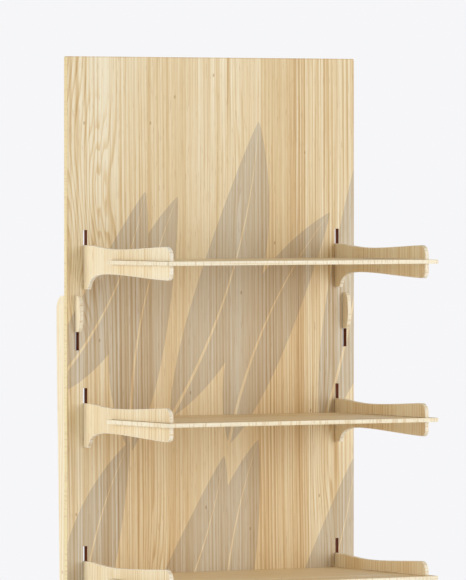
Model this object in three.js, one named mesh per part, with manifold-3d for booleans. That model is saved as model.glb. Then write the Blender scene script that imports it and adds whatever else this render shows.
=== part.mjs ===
// Floor-standing display rack made of flat wooden panels that hook together without tools.
// Millimetres, +Z up. The front faces -Y, and the floor is at z = 0, below the middle of the rack.
import * as THREE from 'three';
import { mergeVertices } from 'three/addons/utils/BufferGeometryUtils.js';
import Module from 'manifold-3d';

const wasm = await Module();
wasm.setup();

// Sheet stock and clearances
const boardThickness = 12;
const armThickness = 8;
const legThickness = 8;
const railThickness = 8;
const shelfThickness = 7.6;
const fit = 0.3; // air between two faces that touch
const sideFit = 0.4; // air on each side of a panel in its slot

// Back board
const boardWidth = 634.4;
const boardHeight = 1500;
const boardBottomZ = 90;
const boardCorner = 3;

// Levels: each has two arms and one shelf, and the arm slots set the spacing
const levelCount = 4;
const levelPitch = 300;
const topSlotBelowBoardTop = 329.2;
const armSlotHeight = 98;
const armOuterX = 282.35;

// Arm: depths are forward from the face of the board, heights are above the top of its slot
const armReach = 332.5;
const armTop = -28.7;
const armWaistTop = -35.4;
const armWaistBottom = -82.8;
const armToeBottom = -91.4;
const armHeelBottom = -112.4;
const armHeelDepth = 16.8;
const armShoulderDepth = 20;
const armWaistTopDepth = 130;
const armWaistBottomDepth = 104;
const armToeRadiusTop = 18;
const armToeRadiusBottom = 12;
const armLipBottom = -125;
const armLipDepth = 16;
const shelfSlotDepth = 110;

// Shelf
const shelfTop = -55.9;
const shelfOverhang = 14.7;
const shelfEar = 14.65;
const shelfFrontRadius = 7;
const shelfEarRadius = 8;

// Leg: a post behind the board with two hooks through it, on a foot that runs both ways.
// Hook heights are above the top of the arm slot of the same level.
const legOuterX = 300.2;
const hookCount = 2;
const hookPitch = 2 * levelPitch;
const hookTop = -123.8;
const hookBottom = -193.2;
const hookSlotTop = -158;
const hookSlotBottom = -228.1;
const hookReach = 18.9;
const hookFlat = 7;
const hookFullness = 22.7;
const postTop = -124.8;
const postDepth = 73.3;
const postWaistDepth = 62;
const postWaistZ = 520;
const postTopRadius = 25;
const heelReach = 252.8;
const heelHeight = 58;
const toeReach = 330;
const toeHeight = 62;
const toeRadius = 18;
const footWaistZ = 50;
const footShoulderZ = 84;
const heelRadius = 14;
const padLength = 46;
const archHeight = 12;
const archRun = 60;

// Rails: plates between the legs, with a hooked tenon at each end
const railHeight = 80;
const tenonRise = 20;
const tenonHeight = 44;
const tenonDrop = 18;
const tenonLip = 13;
const mortiseHeight = 64;
const rails = [
  { name: 'upper_rail', bottomZ: 505, depth: 33 },
  { name: 'lower_rail', bottomZ: 52, depth: 72 },
];

const curveSegments = 10;
const frontReach = armReach + shelfOverhang;
const boardFaceY = (frontReach - heelReach) / 2; // centres the rack on the origin
const boardTopZ = boardBottomZ + boardHeight;
const topSlotZ = boardTopZ - topSlotBelowBoardTop;
const boardBackY = boardThickness + fit;

const woods = {
  board: { color: 0xe2cca0, roughness: 0.62, metalness: 0 },
  arm: { color: 0xe6d6ad, roughness: 0.6, metalness: 0 },
  shelf: { color: 0xd8bb8c, roughness: 0.55, metalness: 0 },
  leg: { color: 0xe6d8b2, roughness: 0.6, metalness: 0 },
  rail: { color: 0xddc69a, roughness: 0.65, metalness: 0 },
};

function slotTopZ(level) {
  return topSlotZ - (level - 1) * levelPitch;
}

function hookDatumZ(hook) {
  return topSlotZ - hook * hookPitch;
}

// An outline's points, without those that rounding leaves on top of their neighbour
function distinctPoints(shape) {
  const points = shape.getPoints(curveSegments);
  return points.filter((point, i) => point.distanceTo(points[(i + 1) % points.length]) > fit / 10);
}

function extrude(shape, depth) {
  const outline = new THREE.Shape(distinctPoints(shape));
  return new THREE.ExtrudeGeometry(outline, { depth, bevelEnabled: false });
}

function toSolid(geometry) {
  const bare = geometry.clone();
  bare.deleteAttribute('normal');
  bare.deleteAttribute('uv');
  const merged = mergeVertices(bare);
  const vertProperties = new Float32Array(merged.attributes.position.array);
  const triVerts = new Uint32Array(merged.index.array);
  return new wasm.Manifold(new wasm.Mesh({ numProp: 3, vertProperties, triVerts }));
}

function fromSolid(solid) {
  const mesh = solid.getMesh();
  const geometry = new THREE.BufferGeometry();
  geometry.setAttribute('position', new THREE.BufferAttribute(mesh.vertProperties, 3));
  geometry.setIndex(new THREE.BufferAttribute(mesh.triVerts, 1));
  return geometry;
}

// A panel in the drawing plane, with its windows cut right through it
function cutPanel(shape, windows, thickness) {
  let solid = toSolid(extrude(shape, thickness));
  for (const window of windows) {
    const tool = extrude(window, thickness * 3).translate(0, 0, -thickness);
    solid = solid.subtract(toSolid(tool));
  }
  return fromSolid(solid);
}

// Stands a panel from front to back: what was drawn in X and Y goes to Y and Z
function turnToSide(geometry) {
  const toSide = new THREE.Matrix4().makeBasis(
    new THREE.Vector3(0, 1, 0),
    new THREE.Vector3(0, 0, 1),
    new THREE.Vector3(1, 0, 0),
  );
  return geometry.applyMatrix4(toSide);
}

// Stands a panel across the rack, with its front face at y = 0: what was drawn in Y goes to Z
function turnAcross(geometry, thickness) {
  return geometry.rotateX(Math.PI / 2).translate(0, thickness, 0);
}

function piece(name, geometry, wood) {
  const mesh = new THREE.Mesh(geometry, new THREE.MeshStandardMaterial(woods[wood]));
  mesh.name = name;
  return mesh;
}

function rectangle(left, bottom, right, top) {
  const shape = new THREE.Shape();
  shape.moveTo(left, bottom);
  shape.lineTo(right, bottom);
  shape.lineTo(right, top);
  shape.lineTo(left, top);
  return shape;
}

// A quarter circle about (x, y), anticlockwise, that starts after the given number of quarters
function quarter(shape, x, y, radius, quartersBefore) {
  const start = (quartersBefore * Math.PI) / 2;
  shape.absarc(x, y, radius, start, start + Math.PI / 2, false);
}

// The two slots, left and right, that let a pair of side panels through the board
function slotPair(outerX, thickness, bottom, top) {
  const far = outerX + sideFit;
  const near = outerX - thickness - sideFit;
  return [rectangle(-far, bottom, -near, top), rectangle(near, bottom, far, top)];
}

function boardOutline() {
  const x = boardWidth / 2 - boardCorner;
  const low = boardBottomZ + boardCorner;
  const high = boardTopZ - boardCorner;
  const shape = new THREE.Shape();
  shape.moveTo(-x, boardBottomZ);
  quarter(shape, x, low, boardCorner, 3);
  quarter(shape, x, high, boardCorner, 0);
  quarter(shape, -x, high, boardCorner, 1);
  quarter(shape, -x, low, boardCorner, 2);
  return shape;
}

function boardSlots() {
  const slots = [];
  for (let level = 1; level <= levelCount; level += 1) {
    const top = slotTopZ(level);
    slots.push(...slotPair(armOuterX, armThickness, top - armSlotHeight, top));
  }
  for (let hook = 0; hook < hookCount; hook += 1) {
    const low = hookDatumZ(hook) + hookSlotBottom;
    const high = hookDatumZ(hook) + hookSlotTop;
    slots.push(...slotPair(legOuterX, legThickness, low, high));
  }
  return slots;
}

// The part of an arm behind the board: a neck that rests in the slot, and a lip that hangs down
function addArmLip(shape) {
  const neckBottom = fit - armSlotHeight;
  const radius = armLipDepth / 2;
  const middle = boardBackY + radius;
  shape.lineTo(-fit, neckBottom);
  shape.lineTo(boardBackY, neckBottom);
  shape.lineTo(boardBackY, armLipBottom);
  quarter(shape, middle, armLipBottom + radius, radius, 3);
  quarter(shape, middle, armTop - radius, radius, 0);
}

// The front end of an arm: two rounded fingers, with the shelf's slot open between them
function addArmToe(shape) {
  const slotTop = shelfTop + fit;
  const slotBottom = shelfTop - shelfThickness - fit;
  const topX = armToeRadiusTop - armReach;
  const bottomX = armToeRadiusBottom - armReach;
  quarter(shape, topX, armTop - armToeRadiusTop, armToeRadiusTop, 1);
  shape.lineTo(-armReach, slotTop);
  shape.lineTo(-shelfSlotDepth, slotTop);
  shape.lineTo(-shelfSlotDepth, slotBottom);
  shape.lineTo(-armReach, slotBottom);
  quarter(shape, bottomX, armToeBottom + armToeRadiusBottom, armToeRadiusBottom, 2);
}

function armShape() {
  const shape = new THREE.Shape();
  const toeStart = armToeRadiusTop - armReach;
  shape.moveTo(-fit, armHeelBottom);
  addArmLip(shape);
  shape.lineTo(-armShoulderDepth, armTop);
  shape.bezierCurveTo(-42, armTop, -75, armWaistTop, -armWaistTopDepth, armWaistTop);
  shape.bezierCurveTo(-185, armWaistTop, -250, -31, toeStart, armTop);
  addArmToe(shape);
  shape.bezierCurveTo(-250, -89.9, -160, armWaistBottom, -armWaistBottomDepth, armWaistBottom);
  shape.bezierCurveTo(-60, armWaistBottom, -26, -84, -armHeelDepth, armHeelBottom);
  return shape;
}

// Seen from above: wide in front, where its ears pass through the arms, and narrow behind them
function shelfShape() {
  const wide = armOuterX + shelfEar;
  const narrow = armOuterX - armThickness - sideFit;
  const earBack = -shelfSlotDepth - fit;
  const front = shelfFrontRadius - frontReach;
  const frontX = wide - shelfFrontRadius;
  const earX = wide - shelfEarRadius;
  const earY = earBack - shelfEarRadius;
  const shape = new THREE.Shape();
  shape.moveTo(-frontX, -frontReach);
  quarter(shape, frontX, front, shelfFrontRadius, 3);
  quarter(shape, earX, earY, shelfEarRadius, 0);
  shape.lineTo(narrow, earBack);
  shape.lineTo(narrow, -fit);
  shape.lineTo(-narrow, -fit);
  shape.lineTo(-narrow, earBack);
  quarter(shape, -earX, earY, shelfEarRadius, 1);
  quarter(shape, -frontX, front, shelfFrontRadius, 2);
  return shape;
}

// The underside of the foot: a pad at each end, and a low arch between them
function addFootPads(shape) {
  const archStart = padLength - toeReach;
  const archEnd = heelReach - padLength;
  const easedIn = archStart + archRun / 2;
  const easedOut = archEnd - archRun / 2;
  shape.lineTo(archStart, 0);
  shape.bezierCurveTo(easedIn, 0, easedIn, archHeight, archStart + archRun, archHeight);
  shape.lineTo(archEnd - archRun, archHeight);
  shape.bezierCurveTo(easedOut, archHeight, easedOut, 0, archEnd, 0);
  shape.lineTo(heelReach, 0);
}

// The back of the leg: heel, a long sweep up to the waist, and a straight post with a round top
function addLegBack(shape) {
  const top = topSlotZ + postTop;
  const straightZ = top - 2 * postTopRadius;
  quarter(shape, heelReach - heelRadius, heelHeight - heelRadius, heelRadius, 0);
  shape.bezierCurveTo(110, 76, postWaistDepth, 210, postWaistDepth, postWaistZ);
  shape.bezierCurveTo(postWaistDepth, 760, postDepth, 960, postDepth, straightZ);
  quarter(shape, postDepth - postTopRadius, top - postTopRadius, postTopRadius, 0);
  shape.lineTo(boardBackY, top);
}

// One hook: a neck that fills the top of its slot, and a rounded lip that stands up in front
function addHook(shape, datum) {
  const neckTop = datum + hookSlotTop - fit;
  const top = datum + hookTop;
  const bottom = datum + hookBottom;
  const middle = (top + bottom) / 2;
  shape.lineTo(boardBackY, neckTop);
  shape.lineTo(-fit, neckTop);
  shape.lineTo(-fit, top);
  shape.lineTo(-hookFlat, top);
  shape.bezierCurveTo(-15, top, -hookReach, middle + hookFullness, -hookReach, middle);
  shape.bezierCurveTo(-hookReach, middle - hookFullness, -15, bottom, -hookFlat, bottom);
  shape.lineTo(boardBackY, bottom);
}

// The top of the foot, from the shoulder under the board to the toe
function addFootTop(shape) {
  const toeStart = toeRadius - toeReach;
  shape.lineTo(boardBackY, footShoulderZ);
  shape.lineTo(-16, footShoulderZ);
  shape.bezierCurveTo(-28, 56, -60, footWaistZ, -110, footWaistZ);
  shape.bezierCurveTo(-170, footWaistZ, -250, 60, toeStart, toeHeight);
  quarter(shape, toeStart, toeHeight - toeRadius, toeRadius, 1);
}

function legShape() {
  const shape = new THREE.Shape();
  shape.moveTo(-toeReach, 0);
  addFootPads(shape);
  addLegBack(shape);
  for (let hook = 0; hook < hookCount; hook += 1) addHook(shape, hookDatumZ(hook));
  addFootTop(shape);
  return shape;
}

function legMortises() {
  return rails.map((rail) => {
    const low = rail.bottomZ + tenonRise;
    const back = rail.depth + railThickness + fit;
    return rectangle(rail.depth - fit, low, back, low + mortiseHeight);
  });
}

// Half of a rail's outline is mirrored to make the other half; heights are above its lower edge
function railShape() {
  const shoulder = legOuterX - legThickness - fit;
  const neckEnd = legOuterX + fit;
  const lipEnd = neckEnd + tenonLip;
  const low = tenonRise + fit;
  const high = low + tenonHeight;
  const half = [
    [shoulder, 0],
    [shoulder, low],
    [neckEnd, low],
    [neckEnd, low - tenonDrop],
    [lipEnd, low - tenonDrop],
    [lipEnd, high],
    [shoulder, high],
    [shoulder, railHeight],
  ];
  const mirrored = half.map(([x, z]) => [-x, z]).reverse();
  return new THREE.Shape([...half, ...mirrored].map(([x, z]) => new THREE.Vector2(x, z)));
}

function makeLegs() {
  const legs = new THREE.Group();
  const geometry = turnToSide(cutPanel(legShape(), legMortises(), legThickness));
  const leftLeg = piece('left_leg', geometry, 'leg');
  const rightLeg = piece('right_leg', geometry, 'leg');
  leftLeg.position.x = -legOuterX;
  rightLeg.position.x = legOuterX - legThickness;
  legs.add(leftLeg, rightLeg);
  return legs;
}

function makeRail(rail) {
  const geometry = turnAcross(extrude(railShape(), railThickness), railThickness);
  const mesh = piece(rail.name, geometry, 'rail');
  mesh.position.set(0, rail.depth, rail.bottomZ);
  return mesh;
}

function makeBoard() {
  const panel = cutPanel(boardOutline(), boardSlots(), boardThickness);
  return piece('back_board', turnAcross(panel, boardThickness), 'board');
}

function makeLevel(level) {
  const group = new THREE.Group();
  const armGeometry = turnToSide(extrude(armShape(), armThickness));
  const leftArm = piece(`left_arm_${level}`, armGeometry, 'arm');
  const rightArm = piece(`right_arm_${level}`, armGeometry, 'arm');
  const shelf = piece(`shelf_${level}`, extrude(shelfShape(), shelfThickness), 'shelf');
  leftArm.position.x = -armOuterX;
  rightArm.position.x = armOuterX - armThickness;
  shelf.position.z = shelfTop - shelfThickness;
  group.position.z = slotTopZ(level);
  group.add(leftArm, rightArm, shelf);
  return group;
}

const rack = new THREE.Group();
rack.position.y = boardFaceY;
rack.add(makeLegs(), ...rails.map(makeRail), makeBoard());
for (let level = 1; level <= levelCount; level += 1) rack.add(makeLevel(level));

export default rack;
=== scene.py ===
import math
import bmesh
import bpy
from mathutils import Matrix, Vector


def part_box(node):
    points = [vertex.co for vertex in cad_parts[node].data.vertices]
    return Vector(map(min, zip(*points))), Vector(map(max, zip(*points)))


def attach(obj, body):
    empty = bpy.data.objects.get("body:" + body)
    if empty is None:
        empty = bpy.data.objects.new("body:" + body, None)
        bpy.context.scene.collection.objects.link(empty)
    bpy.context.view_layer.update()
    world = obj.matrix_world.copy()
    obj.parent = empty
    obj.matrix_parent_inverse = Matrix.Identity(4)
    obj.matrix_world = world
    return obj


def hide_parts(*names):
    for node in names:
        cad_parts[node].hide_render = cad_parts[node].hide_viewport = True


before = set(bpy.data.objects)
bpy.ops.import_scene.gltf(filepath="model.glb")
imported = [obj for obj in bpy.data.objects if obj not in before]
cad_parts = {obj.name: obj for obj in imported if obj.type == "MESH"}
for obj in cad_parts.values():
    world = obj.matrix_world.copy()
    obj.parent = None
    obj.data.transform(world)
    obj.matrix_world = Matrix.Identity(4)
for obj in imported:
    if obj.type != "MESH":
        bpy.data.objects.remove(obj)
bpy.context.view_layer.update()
print("frame loaded with", len(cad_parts), "nodes")

scene = bpy.context.scene
scene.view_settings.view_transform = "Standard"

boardLow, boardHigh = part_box("back_board")
boardFace = boardLow.y
levelCount = sum(1 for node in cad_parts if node.startswith("shelf_"))


# helpers that wire up materials

def addNode(tree, kind, **settings):
    node = tree.nodes.new(kind)
    for key, value in settings.items():
        setattr(node, key, value)
    return node


def wire(tree, source, target):
    if isinstance(source, (int, float)):
        target.default_value = source
    else:
        tree.links.new(source, target)


def mathOf(tree, operation, a, b=0.0, c=None):
    node = addNode(tree, "ShaderNodeMath", operation=operation)
    wire(tree, a, node.inputs[0])
    wire(tree, b, node.inputs[1])
    if c is not None:
        wire(tree, c, node.inputs[2])
    return node.outputs[0]


def remap(tree, value, low, high, newLow=0.0, newHigh=1.0):
    node = addNode(tree, "ShaderNodeMapRange", interpolation_type="SMOOTHSTEP")
    wire(tree, value, node.inputs["Value"])
    for name, number in (("From Min", low), ("From Max", high), ("To Min", newLow), ("To Max", newHigh)):
        node.inputs[name].default_value = number
    return node.outputs["Result"]


def joined(tree, x, y, z):
    node = addNode(tree, "ShaderNodeCombineXYZ")
    for socket, value in zip(node.inputs, (x, y, z)):
        wire(tree, value, socket)
    return node.outputs[0]


def noiseOf(tree, x, y, z, scale, detail=2.0, roughness=0.5):
    # a cloud stretched by its three scales, in patterns per metre
    stretched = [mathOf(tree, "MULTIPLY", part, size) for part, size in zip((x, y, z), scale)]
    node = addNode(tree, "ShaderNodeTexNoise", noise_dimensions="3D")
    tree.links.new(joined(tree, *stretched), node.inputs["Vector"])
    node.inputs["Scale"].default_value = 1.0
    node.inputs["Detail"].default_value = detail
    node.inputs["Roughness"].default_value = roughness
    return node.outputs["Fac"]


def rampOf(tree, value, stops):
    node = addNode(tree, "ShaderNodeValToRGB")
    node.color_ramp.interpolation = "B_SPLINE"
    elements = node.color_ramp.elements
    while len(elements) < len(stops):
        elements.new(0.5)
    for element, (place, colour) in zip(elements, stops):
        element.position = place
        element.color = (*colour, 1.0)
    wire(tree, value, node.inputs["Fac"])
    return node.outputs["Color"]


def tinted(tree, amount, colour, over, mode="MIX"):
    node = addNode(tree, "ShaderNodeMix", data_type="RGBA", blend_type=mode)
    wire(tree, amount, node.inputs[0])
    for socket, value in ((node.inputs[6], over), (node.inputs[7], colour)):
        if isinstance(value, tuple):
            socket.default_value = (*value, 1.0)
        else:
            tree.links.new(value, socket)
    return node.outputs[2]


# wood

grainTurns = {
    "boardGrain": (0.0, 0.0, 0.0),  # grain runs up, its face looks forward
    "sideGrain": (0.0, 0.0, -90.0),  # grain runs up, its face looks sideways
    "shelfGrain": (90.0, 90.0, 0.0),  # grain runs from side to side, its face looks up
    "railGrain": (0.0, 90.0, 0.0),  # grain runs from side to side, its face looks forward
}

ashTones = {
    "cream": (0.935, 0.850, 0.650),
    "pale": (0.855, 0.715, 0.470),
    "honey": (0.770, 0.590, 0.335),
    "tan": (0.660, 0.450, 0.215),
    "brown": (0.480, 0.270, 0.098),
}

edgeTones = {
    "cream": (0.975, 0.930, 0.800),
    "pale": (0.945, 0.875, 0.700),
    "honey": (0.885, 0.780, 0.555),
    "tan": (0.765, 0.600, 0.365),
    "brown": (0.600, 0.410, 0.205),
}

ashLook = {
    "sway": 0.014,  # metres that the grain wanders sideways
    "ripple": 0.0016,
    "ringPitch": 0.0082,
    "pithAway": 0.62,
    "pithDepth": 0.09,
    "pithLean": 0.03,
    "middle": 0.44,
    "bandShare": 0.62,
    "ringShare": 0.30,
    "streakShare": 0.86,
    "lively": (0.55, 1.35),
    "lineShare": 0.62,
    "fibreShare": 0.46,
    "creamLines": 0.92,
    "darkLines": 0.62,
    "pores": 0.30,
    "pinKnots": 0.62,
    "roughness": (0.40, 0.58),
    "bump": 0.00014,
}

# sizes of the patterns across, through and along the grain, in patterns per metre
grainScales = {
    "sway": (1.6, 1.6, 0.5),
    "ripple": (11.0, 11.0, 3.0),
    "lively": (9.0, 9.0, 0.5),
    "band": (13.0, 5.0, 0.35),
    "streak": (165.0, 165.0, 0.9),
    "fibre": (760.0, 760.0, 14.0),
    "line": (420.0, 420.0, 2.2),
    "cream": (230.0, 120.0, 0.8),
    "dark": (250.0, 150.0, 1.6),
    "pore": (430.0, 430.0, 34.0),
    "pinKnot": (6.5, 0.0, 3.4),
    "ring": (17.0, 6.0, 0.9),
    "ringPitch": (34.0, 1.0, 1.0),
}

# one growth ring, as parts of its width: pale wood darkens slowly, then ends sharply
ringShape = {
    "darkens": (0.35, 0.86),
    "ends": (0.88, 1.0),
    "middle": 0.35,
    "uneven": 4.0,  # rings by which the spacing wanders
    "faint": 0.15,
    "knotShare": 0.5,
    "strongest": 1.1,
}

lacquer = {"specular": 0.35, "coat": 0.10, "coatRoughness": 0.35, "bumpStrength": 0.55}

# places where the rings swell round a knot: across, up, width, height, rings gained
boardKnots = [
    (-0.250, 1.330, 0.034, 0.120, 3.8),
    (-0.318, 1.440, 0.046, 0.150, 3.4),
    (-0.288, 1.140, 0.024, 0.060, 2.6),
    (0.058, 1.380, 0.022, 0.130, -1.2),
    (0.248, 0.820, 0.026, 0.120, 2.0),
    (-0.120, 0.520, 0.030, 0.130, 2.8),
    (0.160, 0.300, 0.030, 0.110, -1.6),
]

# broad darker and paler stripes in the board, and a painted shade over its lower part: across, half width,
# tone added, and the heights where it begins and is full
boardBandsAndShade = [
    (-0.240, 0.090, -0.20, 1.16, 1.40),
    (-0.078, 0.024, 0.12, 0.0, 0.1),
    (0.020, 0.060, -0.03, 0.0, 0.1),
    (0.188, 0.016, 0.12, 0.0, 0.1),
    (0.275, 0.040, -0.02, 0.0, 0.1),
    # painted shade: the lower board darker and warmer, fading out upwards
    (0.0, 0.400, 0.05, 1.15, 0.85),
]


def grainAxes(tree, turn, shift):
    place = addNode(tree, "ShaderNodeTexCoord")
    mapping = addNode(tree, "ShaderNodeMapping", vector_type="POINT")
    mapping.inputs["Rotation"].default_value = [math.radians(angle) for angle in grainTurns[turn]]
    mapping.inputs["Location"].default_value = shift
    tree.links.new(place.outputs["Object"], mapping.inputs["Vector"])
    parts = addNode(tree, "ShaderNodeSeparateXYZ")
    tree.links.new(mapping.outputs["Vector"], parts.inputs[0])
    return parts.outputs


def swelling(tree, x, z, knot):
    # a smooth hump over the knot, in rings
    across, up, width, height, rings = knot
    aside = mathOf(tree, "DIVIDE", mathOf(tree, "SUBTRACT", x, across), width)
    above = mathOf(tree, "DIVIDE", mathOf(tree, "SUBTRACT", z, up), height)
    square = mathOf(tree, "MULTIPLY_ADD", aside, aside, mathOf(tree, "MULTIPLY", above, above))
    hump = mathOf(tree, "POWER", math.e, mathOf(tree, "MULTIPLY", square, -1.0))
    return mathOf(tree, "MULTIPLY", hump, rings)


def stripe(tree, across, z, band):
    middle, half, gain, begins, full = band
    away = mathOf(tree, "DIVIDE", mathOf(tree, "SUBTRACT", across, middle), half)
    shape = remap(tree, mathOf(tree, "ABSOLUTE", away), 0.3, 1.5, 1.0, 0.0)
    return mathOf(tree, "MULTIPLY", shape, remap(tree, z, begins, full, 0.0, gain))


def centred(tree, value, share):
    return mathOf(tree, "MULTIPLY", mathOf(tree, "SUBTRACT", value, 0.5), share)


def summed(tree, values):
    total = values[0]
    for value in values[1:]:
        total = mathOf(tree, "ADD", total, value)
    return total


def growthRings(tree, across, y, z, look, knots):
    # rings are cylinders about a pith beside and behind the panel, which leans a little
    side = mathOf(tree, "ADD", across, look["pithAway"])
    depth = summed(tree, [y, look["pithDepth"], mathOf(tree, "MULTIPLY", z, look["pithLean"])])
    square = mathOf(tree, "MULTIPLY_ADD", side, side, mathOf(tree, "MULTIPLY", depth, depth))
    radius = mathOf(tree, "SQRT", square)
    uneven = noiseOf(tree, radius, 0.0, 0.0, grainScales["ringPitch"], 2.0)
    parts = [
        mathOf(tree, "DIVIDE", radius, look["ringPitch"]),
        mathOf(tree, "MULTIPLY", uneven, ringShape["uneven"]),
    ]
    parts += [swelling(tree, across, z, knot) for knot in knots]
    turn = mathOf(tree, "FRACT", summed(tree, parts))
    darkens = remap(tree, turn, *ringShape["darkens"])
    ring = mathOf(tree, "SUBTRACT", darkens, remap(tree, turn, *ringShape["ends"]))
    patches = noiseOf(tree, across, y, z, grainScales["ring"], 1.0)
    strength = remap(tree, patches, 0.36, 0.62, ringShape["faint"], 1.0)
    for knot in knots:
        near = mathOf(tree, "ABSOLUTE", swelling(tree, across, z, knot))
        strength = mathOf(tree, "MULTIPLY_ADD", near, ringShape["knotShare"], strength)
    return mathOf(tree, "MULTIPLY", ring, mathOf(tree, "MINIMUM", strength, ringShape["strongest"]))


def pinKnots(tree, across, z):
    # small dark knots, one here and there
    node = addNode(tree, "ShaderNodeTexVoronoi", voronoi_dimensions="2D", feature="F1")
    acrossScale, _, alongScale = grainScales["pinKnot"]
    sideways = mathOf(tree, "MULTIPLY", across, acrossScale)
    upwards = mathOf(tree, "MULTIPLY", z, alongScale)
    tree.links.new(joined(tree, sideways, upwards, 0.0), node.inputs["Vector"])
    node.inputs["Scale"].default_value = 1.0
    return remap(tree, node.outputs["Distance"], 0.006, 0.017, 1.0, 0.0)


def grainFields(tree, x, y, z, look, knots, bands):
    # the grain wanders slowly, and ripples a little
    sway = centred(tree, noiseOf(tree, x, y, z, grainScales["sway"], 1.5), look["sway"] * 2)
    ripple = centred(tree, noiseOf(tree, x, y, z, grainScales["ripple"], 2.0), look["ripple"] * 2)
    across = summed(tree, [x, sway, ripple])
    # streaks are lively in some places and quiet in others
    patches = noiseOf(tree, across, y, z, grainScales["lively"], 1.0)
    return {
        "lively": remap(tree, patches, 0.36, 0.64, *look["lively"]),
        "ring": growthRings(tree, across, y, z, look, knots),
        "band": noiseOf(tree, across, y, z, grainScales["band"], 3.0, 0.6),
        "streak": noiseOf(tree, across, y, z, grainScales["streak"], 3.0, 0.66),
        "fibre": noiseOf(tree, across, y, z, grainScales["fibre"], 2.0, 0.6),
        "line": noiseOf(tree, across, y, z, grainScales["line"], 1.0),
        "cream": noiseOf(tree, across, y, z, grainScales["cream"], 1.0),
        "dark": noiseOf(tree, across, y, z, grainScales["dark"], 1.0),
        "pore": noiseOf(tree, across, y, z, grainScales["pore"], 1.0),
        "pinKnot": pinKnots(tree, across, z),
        "stripes": summed(tree, [0.0] + [stripe(tree, across, z, band) for band in bands]),
    }


def woodMaterial(name, turn, shift, look=ashLook, tones=ashTones, knots=(), bands=(), overlay=None):
    material = bpy.data.materials.new(name)
    material.use_nodes = True
    tree = material.node_tree
    shader = tree.nodes["Principled BSDF"]
    x, y, z = grainAxes(tree, turn, shift)
    fields = grainFields(tree, x, y, z, look, knots, bands)
    ring = mathOf(tree, "SUBTRACT", fields["ring"], ringShape["middle"])
    tone = summed(tree, [
        look["middle"],
        centred(tree, fields["band"], look["bandShare"]),
        mathOf(tree, "MULTIPLY", ring, look["ringShare"]),
        mathOf(tree, "MULTIPLY", centred(tree, fields["streak"], look["streakShare"]), fields["lively"]),
        mathOf(tree, "MULTIPLY", centred(tree, fields["line"], look["lineShare"]), fields["lively"]),
        centred(tree, fields["fibre"], look["fibreShare"]),
        fields["stripes"],
    ])
    places = zip((0.10, 0.30, 0.50, 0.76, 1.0), ("cream", "pale", "honey", "tan", "brown"))
    colour = rampOf(tree, tone, [(place, tones[step]) for place, step in places])
    creamLine = mathOf(tree, "MULTIPLY", remap(tree, fields["cream"], 0.64, 0.74), look["creamLines"])
    colour = tinted(tree, creamLine, tones["cream"], colour)
    darkLine = mathOf(tree, "MULTIPLY", remap(tree, fields["dark"], 0.62, 0.76), look["darkLines"])
    colour = tinted(tree, darkLine, tones["tan"], colour)
    fleck = remap(tree, fields["pore"], 0.62, 0.76)
    colour = tinted(tree, mathOf(tree, "MULTIPLY", fleck, look["pores"]), tones["brown"], colour)
    pinKnot = mathOf(tree, "MULTIPLY", fields["pinKnot"], look["pinKnots"])
    colour = tinted(tree, pinKnot, tones["brown"], colour)
    if overlay is not None:
        colour = overlay(tree, colour)
    tree.links.new(colour, shader.inputs["Base Color"])
    low, high = look["roughness"]
    tree.links.new(remap(tree, fields["streak"], 0.3, 0.7, low, high), shader.inputs["Roughness"])
    height = summed(tree, [
        mathOf(tree, "MULTIPLY", fields["streak"], 0.6),
        mathOf(tree, "MULTIPLY", fields["fibre"], 0.4),
        mathOf(tree, "MULTIPLY", fleck, -0.8),
    ])
    bump = addNode(tree, "ShaderNodeBump")
    bump.inputs["Distance"].default_value = look["bump"]
    bump.inputs["Strength"].default_value = lacquer["bumpStrength"]
    tree.links.new(height, bump.inputs["Height"])
    tree.links.new(bump.outputs["Normal"], shader.inputs["Normal"])
    shader.inputs["Specular IOR Level"].default_value = lacquer["specular"]
    shader.inputs["Coat Weight"].default_value = lacquer["coat"]
    shader.inputs["Coat Roughness"].default_value = lacquer["coatRoughness"]
    return material


boardEdgeTones = {
    "cream": (0.930, 0.840, 0.560),
    "pale": (0.880, 0.765, 0.460),
    "honey": (0.800, 0.650, 0.345),
    "tan": (0.640, 0.430, 0.180),
    "brown": (0.470, 0.270, 0.090),
}

armEdgeTones = {
    "cream": (0.980, 0.950, 0.865),
    "pale": (0.955, 0.900, 0.765),
    "honey": (0.910, 0.820, 0.640),
    "tan": (0.780, 0.625, 0.410),
    "brown": (0.600, 0.410, 0.205),
}

armLook = dict(ashLook, streakShare=0.50, lineShare=0.36, bandShare=0.56, darkLines=0.25, middle=0.335)
legLook = dict(armLook, middle=0.28)

# cut edges: paler than the faces, with fine ticks across the thickness

edgeLook = dict(
    ashLook, middle=0.38, bandShare=0.50, ringShare=0.10, streakShare=0.40, lineShare=0.25,
    creamLines=0.4, darkLines=0.25, pores=0.2, pinKnots=0.0,
)
edgeTick = {"share": 0.80, "along": 25.0, "across": 240.0}


def edgeTicks(along):
    def overlay(tree, colour):
        place = addNode(tree, "ShaderNodeTexCoord")
        parts = addNode(tree, "ShaderNodeSeparateXYZ")
        tree.links.new(place.outputs["Object"], parts.inputs[0])
        scale = [edgeTick["along"] if axis == along else edgeTick["across"] for axis in range(3)]
        ticks = noiseOf(tree, *parts.outputs, scale, 2.0, 0.6)
        amount = mathOf(tree, "MULTIPLY", remap(tree, ticks, 0.50, 0.64), edgeTick["share"])
        return tinted(tree, amount, edgeTones["tan"], colour)
    return overlay


# slot walls: painted dark brown as the shade inside the slots, a little uneven

slotShade = {
    "dark": (0.150, 0.030, 0.009),
    "brown": (0.400, 0.120, 0.040),
    "patches": (180.0, 90.0, 22.0),
    "bump": 0.0002,
}


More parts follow.
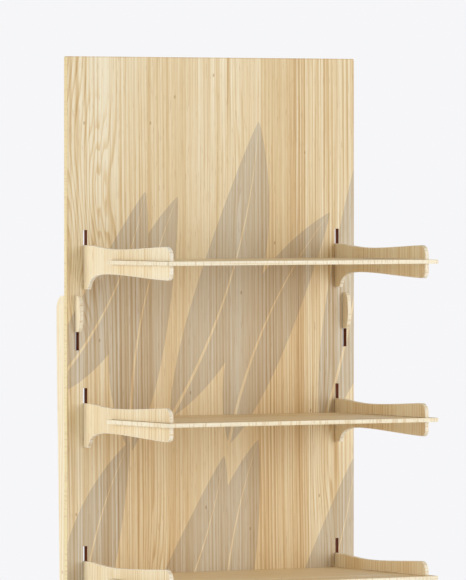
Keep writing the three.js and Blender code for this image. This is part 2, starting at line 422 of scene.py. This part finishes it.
def slotShadeMaterial(name):
    material = bpy.data.materials.new(name)
    material.use_nodes = True
    tree = material.node_tree
    shader = tree.nodes["Principled BSDF"]
    x, y, z = grainAxes(tree, "boardGrain", (0.0, 0.0, 0.0))
    slotMottle = noiseOf(tree, x, y, z, slotShade["patches"], 3.0, 0.6)
    # the colour is painted shade for the slot walls
    colour = rampOf(tree, slotMottle, [(0.30, slotShade["dark"]), (0.70, slotShade["brown"])])
    tree.links.new(colour, shader.inputs["Base Color"])
    tree.links.new(remap(tree, slotMottle, 0.3, 0.7, 0.6, 0.85), shader.inputs["Roughness"])
    bump = addNode(tree, "ShaderNodeBump")
    bump.inputs["Distance"].default_value = slotShade["bump"]
    tree.links.new(slotMottle, bump.inputs["Height"])
    tree.links.new(bump.outputs["Normal"], shader.inputs["Normal"])
    return material


# printed leaves on the board's front, in a thin grey wash that lets the grain through

leafPrint = {
    "ink": (0.762, 0.780, 0.872),
    "softness": 0.0010,
    "midrib": 0.0032,
    "point": 0.86,  # lower is blunter
    "taper": 0.16,
    # across, up, half length, half width, lean to the right in degrees, bow
    "leaves": [
        (-0.262, 1.135, 0.230, 0.056, 30.0, 0.16),
        (-0.128, 1.080, 0.250, 0.060, 12.0, -0.12),
        (0.006, 1.185, 0.300, 0.066, 19.0, 0.13),
        (0.150, 1.070, 0.250, 0.060, 27.0, -0.13),
        (0.296, 1.170, 0.300, 0.062, 10.0, 0.10),
        (-0.236, 0.640, 0.225, 0.056, 14.0, -0.13),
        (-0.096, 0.575, 0.280, 0.064, 26.0, 0.14),
        (0.062, 0.625, 0.235, 0.058, 10.0, -0.10),
        (0.216, 0.560, 0.285, 0.064, 22.0, 0.13),
    ],
}


def leafMask(tree, x, z, leaf):
    # a blade with two pointed ends, bowed to one side and split by its midrib
    across, up, halfLength, halfWidth, lean, bow = leaf
    sine, cosine = math.sin(math.radians(lean)), math.cos(math.radians(lean))
    aside = mathOf(tree, "SUBTRACT", x, across)
    above = mathOf(tree, "SUBTRACT", z, up)
    sideways = mathOf(tree, "MULTIPLY", aside, sine / halfLength)
    along = mathOf(tree, "MULTIPLY_ADD", above, cosine / halfLength, sideways)
    beside = mathOf(tree, "MULTIPLY_ADD", aside, cosine, mathOf(tree, "MULTIPLY", above, -sine))
    room = mathOf(tree, "MAXIMUM", mathOf(tree, "SUBTRACT", 1.0, mathOf(tree, "MULTIPLY", along, along)), 0.0)
    bowed = mathOf(tree, "ABSOLUTE", mathOf(tree, "MULTIPLY_ADD", room, -bow * halfLength, beside))
    taper = mathOf(tree, "MULTIPLY_ADD", along, -leafPrint["taper"], 1.0)
    blade = mathOf(tree, "MULTIPLY", mathOf(tree, "POWER", room, leafPrint["point"]), taper)
    width = mathOf(tree, "MULTIPLY", blade, halfWidth)
    inside = remap(tree, mathOf(tree, "SUBTRACT", width, bowed), 0.0, leafPrint["softness"])
    rib = mathOf(tree, "MULTIPLY", leafPrint["midrib"], mathOf(tree, "MULTIPLY_ADD", along, -0.5, 0.4))
    beyondRib = remap(tree, mathOf(tree, "SUBTRACT", bowed, rib), 0.0, leafPrint["softness"])
    return mathOf(tree, "MULTIPLY", inside, beyondRib)


# rims: the last millimetres of the board's face are painted a little darker and patchy

rimDarkening = {"width": 0.0028, "share": 0.55, "patches": (14.0, 14.0, 7.0)}


def rimMask(tree, x, y, z):
    halfWidth = (boardHigh.x - boardLow.x) / 2
    aside = mathOf(tree, "SUBTRACT", halfWidth, mathOf(tree, "ABSOLUTE", x))
    below = mathOf(tree, "SUBTRACT", boardHigh.z, z)
    above = mathOf(tree, "SUBTRACT", z, boardLow.z)
    nearest = mathOf(tree, "MINIMUM", aside, mathOf(tree, "MINIMUM", below, above))
    patch = remap(tree, noiseOf(tree, x, y, z, rimDarkening["patches"], 2.0), 0.30, 0.62, 0.35, 1.0)
    rim = remap(tree, nearest, 0.0, rimDarkening["width"], rimDarkening["share"], 0.0)
    return mathOf(tree, "MULTIPLY", rim, patch)


def boardOverlay(tree, colour):
    place = addNode(tree, "ShaderNodeTexCoord")
    parts = addNode(tree, "ShaderNodeSeparateXYZ")
    tree.links.new(place.outputs["Object"], parts.inputs[0])
    x, y, z = parts.outputs
    mask = 0.0
    for leaf in leafPrint["leaves"]:
        mask = mathOf(tree, "MAXIMUM", mask, leafMask(tree, x, z, leaf))
    front = mathOf(tree, "LESS_THAN", y, boardFace + 0.0006)
    printed = tinted(tree, mathOf(tree, "MULTIPLY", mask, front), leafPrint["ink"], colour, "MULTIPLY")
    # the rims of the board's face are painted a little darker
    return tinted(tree, rimMask(tree, x, y, z), ashTones["brown"], printed)


# panels: each is its CAD solid with its flat faces merged and its edges eased

panelCuts = {
    "back_board": {"ease": 0.0009, "steps": 2, "thickness": 1, "slot": "board_wood"},
    "leg": {"ease": 0.0012, "steps": 3, "thickness": 0, "slot": "leg_wood"},
    "arm": {"ease": 0.0012, "steps": 3, "thickness": 0, "slot": "arm_wood"},
    "shelf": {"ease": 0.0010, "steps": 3, "thickness": 2, "slot": "shelf_wood"},
    "rail": {"ease": 0.0010, "steps": 2, "thickness": 1, "slot": "rail_wood"},
}


meshCare = {
    "mergeWithin": 0.00002,
    "flatWithin": 0.05,  # degrees between faces that are made one
    "smoothBelow": 38.0,  # degrees at an edge that is shaded as round
}


def cleanCopy(node):
    mesh = bmesh.new()
    mesh.from_mesh(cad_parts[node].data)
    bmesh.ops.remove_doubles(mesh, verts=mesh.verts, dist=meshCare["mergeWithin"])
    limit = math.radians(meshCare["flatWithin"])
    bmesh.ops.dissolve_limit(mesh, angle_limit=limit, verts=mesh.verts, edges=mesh.edges)
    return mesh


def facesAlong(face, axis):
    return abs(face.normal[axis]) > 0.999


def easeEdges(mesh, cut):
    rims = [
        edge for edge in mesh.edges
        if len(edge.link_faces) == 2
        and sum(facesAlong(face, cut["thickness"]) for face in edge.link_faces) == 1
    ]
    bmesh.ops.bevel(
        mesh, geom=rims, offset=cut["ease"], segments=cut["steps"], profile=0.5,
        affect="EDGES", material=-1, clamp_overlap=True, loop_slide=False,
    )


def refillFlats(mesh, axis):
    # the two flat sides are made again from their outlines, so that none folds over a hole
    for way in (-1.0, 1.0):
        mesh.normal_update()
        flats = [face for face in mesh.faces if face.normal[axis] * way > 0.999]
        inside = set(flats)
        touched = {edge for face in flats for edge in face.edges}
        outline = [edge for edge in touched if sum(face in inside for face in edge.link_faces) == 1]
        bmesh.ops.delete(mesh, geom=flats, context="FACES_ONLY")
        loose = [edge for edge in mesh.edges if not edge.link_faces]
        bmesh.ops.delete(mesh, geom=loose, context="EDGES")
        normal = Vector([way if place == axis else 0.0 for place in range(3)])
        filled = bmesh.ops.triangle_fill(mesh, edges=outline, use_beauty=True, normal=normal)
        for face in filled["geom"]:
            if isinstance(face, bmesh.types.BMFace):
                face.normal_update()
                if face.normal.dot(normal) < 0:
                    face.normal_flip()


def insideOutline(face, low, high, margin=0.004):
    # true for the walls of slots, which lie inside the board's outer edge
    middle = face.calc_center_median()
    return low.x + margin < middle.x < high.x - margin and low.z + margin < middle.z < high.z - margin


def makePanel(node, kind, body, woods):
    # woods: the flat faces' material, the edges', and where there are slots their walls'
    cut = panelCuts[kind]
    low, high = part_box(node)
    mesh = cleanCopy(node)
    easeEdges(mesh, cut)
    refillFlats(mesh, cut["thickness"])
    mesh.normal_update()
    for face in mesh.faces:
        flat = facesAlong(face, cut["thickness"])
        face.smooth = not flat
        face.material_index = 0 if flat else 1
        if len(woods) == 3 and not flat and insideOutline(face, low, high):
            face.material_index = 2
    roundBelow = math.radians(meshCare["smoothBelow"])
    for edge in mesh.edges:
        edge.smooth = len(edge.link_faces) == 2 and edge.calc_face_angle() < roundBelow
    data = bpy.data.meshes.new(node + "_panel")
    mesh.to_mesh(data)
    mesh.free()
    for wood in woods:
        data.materials.append(wood)
    panel = bpy.data.objects.new(node + "_panel", data)
    scene.collection.objects.link(panel)
    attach(panel, body)
    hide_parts(node)
    return panel


def faceAndEdge(name, turn, shift, kind, rimTones=edgeTones, **extras):
    face = woodMaterial(name + "Face", turn, shift, **extras)
    ticks = edgeTicks(panelCuts[kind]["thickness"])
    edge = woodMaterial(name + "Edge", turn, shift, look=edgeLook, tones=rimTones, overlay=ticks)
    return [face, edge]


# the slot walls' material, painted dark as shade
slotShadeWood = slotShadeMaterial("slotPaintedShade")
boardWoods = faceAndEdge(
    "board", "boardGrain", (0.0, 0.0, 0.0), "back_board",
    rimTones=boardEdgeTones, knots=boardKnots, bands=boardBandsAndShade, overlay=boardOverlay,
)
makePanel("back_board", "back_board", "board", boardWoods + [slotShadeWood])
print("board made")

for side, spread in (("left", 0.0), ("right", 0.7)):
    woods = faceAndEdge(side + "Leg", "sideGrain", (0.12 + spread, 0.0, 0.3), "leg", look=legLook)
    makePanel(side + "_leg", "leg", "frame", woods)
for place, name in enumerate(("upper_rail", "lower_rail")):
    woods = faceAndEdge(name, "railGrain", (0.4, 0.0, 0.9 * place), "rail")
    makePanel(name, "rail", "frame", woods)
print("legs and rails made")

for level in range(1, levelCount + 1):
    for place, side in enumerate(("left", "right")):
        node = f"{side}_arm_{level}"
        shift = (0.23 + 0.61 * place + 0.37 * level, 0.0, 0.45 * level)
        woods = faceAndEdge(node, "sideGrain", shift, "arm", rimTones=armEdgeTones, look=armLook)
        makePanel(node, "arm", node, woods)
    node = f"shelf_{level}"
    shift = (0.35 * level, 0.0, 0.8 * level)
    makePanel(node, "shelf", node, faceAndEdge(node, "shelfGrain", shift, "shelf"))
print("arms and shelves made")

# floor, light and camera

stageLook = {
    "floorRadius": 7.0,
    "floorColour": (0.90, 0.90, 0.91),
    "floorGlow": (0.52, 0.52, 0.53),  # seen by the camera only
    "floorShade": 0.48,  # how much of the lamps' light and shade the camera sees on it
    "floorFade": (1.6, 5.5),  # distances between which it runs into the backdrop
    "backdrop": (0.922, 0.922, 0.939),
    "fill": 0.53,
    "fillColour": (1.0, 0.985, 0.95),
}

lamps = {
    "keyLamp": {
        "place": (2.6, -3.6, 1.65), "aim": (0.0, 0.0, 1.0),
        "size": 2.6, "power": 29.0, "colour": (1.0, 0.985, 0.95),
    },
    "frontLamp": {
        "place": (1.4, -4.6, 1.38), "aim": (0.0, 0.0, 1.0),
        "size": 3.0, "power": 61.0, "colour": (1.0, 0.985, 0.955),
    },
    "sideLamp": {
        "place": (-3.4, 0.75, 1.2), "aim": (0.0, 0.0, 1.0),
        "size": 2.2, "power": 50.0, "colour": (1.0, 0.985, 0.945),
    },
}

cameraView = {"place": (-6.4214, -11.0797, 1.3782), "yaw": 30.167, "pitch": 1.042, "lens": 415.93}


def makeFloor():
    mesh = bmesh.new()
    bmesh.ops.create_circle(mesh, cap_ends=True, segments=96, radius=stageLook["floorRadius"])
    data = bpy.data.meshes.new("floor")
    mesh.to_mesh(data)
    mesh.free()
    material = bpy.data.materials.new("paleFloor")
    material.use_nodes = True
    tree = material.node_tree
    tree.nodes.clear()
    path = addNode(tree, "ShaderNodeLightPath")
    seen = path.outputs["Is Camera Ray"]
    floorColour = Vector(stageLook["floorColour"])
    place = addNode(tree, "ShaderNodeTexCoord")
    away = addNode(tree, "ShaderNodeVectorMath", operation="LENGTH")
    tree.links.new(place.outputs["Object"], away.inputs[0])
    faded = remap(tree, away.outputs["Value"], *stageLook["floorFade"])
    seenShade = tinted(tree, faded, (0.0, 0.0, 0.0), tuple(floorColour * stageLook["floorShade"]))
    seenGlow = tinted(tree, faded, stageLook["backdrop"], stageLook["floorGlow"])
    shade = addNode(tree, "ShaderNodeBsdfDiffuse")
    shownColour = tinted(tree, seen, seenShade, tuple(floorColour))
    tree.links.new(shownColour, shade.inputs["Color"])
    glow = addNode(tree, "ShaderNodeEmission")
    tree.links.new(seenGlow, glow.inputs["Color"])
    tree.links.new(seen, glow.inputs["Strength"])
    both = addNode(tree, "ShaderNodeAddShader")
    output = addNode(tree, "ShaderNodeOutputMaterial")
    tree.links.new(shade.outputs[0], both.inputs[0])
    tree.links.new(glow.outputs[0], both.inputs[1])
    tree.links.new(both.outputs[0], output.inputs["Surface"])
    data.materials.append(material)
    floor = bpy.data.objects.new("floor", data)
    scene.collection.objects.link(floor)


def makeWorld():
    world = bpy.data.worlds.new("studio")
    world.use_nodes = True
    scene.world = world
    tree = world.node_tree
    tree.nodes.clear()
    seen = addNode(tree, "ShaderNodeBackground")
    seen.inputs["Color"].default_value = (*stageLook["backdrop"], 1.0)
    fill = addNode(tree, "ShaderNodeBackground")
    fill.inputs["Color"].default_value = (*stageLook["fillColour"], 1.0)
    fill.inputs["Strength"].default_value = stageLook["fill"]
    path = addNode(tree, "ShaderNodeLightPath")
    mix = addNode(tree, "ShaderNodeMixShader")
    output = addNode(tree, "ShaderNodeOutputWorld")
    tree.links.new(path.outputs["Is Camera Ray"], mix.inputs[0])
    tree.links.new(fill.outputs[0], mix.inputs[1])
    tree.links.new(seen.outputs[0], mix.inputs[2])
    tree.links.new(mix.outputs[0], output.inputs["Surface"])


def makeLamp(name, lamp):
    data = bpy.data.lights.new(name, "AREA")
    data.shape = "SQUARE"
    data.size = lamp["size"]
    data.energy = lamp["power"]
    data.color = lamp["colour"]
    light = bpy.data.objects.new(name, data)
    light.location = lamp["place"]
    light.rotation_euler = (Vector(lamp["aim"]) - Vector(lamp["place"])).to_track_quat("-Z", "Y").to_euler()
    scene.collection.objects.link(light)


def makeCamera():
    data = bpy.data.cameras.new("camera")
    data.lens = cameraView["lens"]
    data.sensor_width = 36.0
    data.clip_start = 1.0
    data.clip_end = 100.0
    camera = bpy.data.objects.new("camera", data)
    camera.location = cameraView["place"]
    camera.rotation_euler = (math.radians(90 - cameraView["pitch"]), 0.0, -math.radians(cameraView["yaw"]))
    scene.collection.objects.link(camera)
    scene.camera = camera


makeFloor()
makeWorld()
for name, lamp in lamps.items():
    makeLamp(name, lamp)
makeCamera()
print("stage ready")
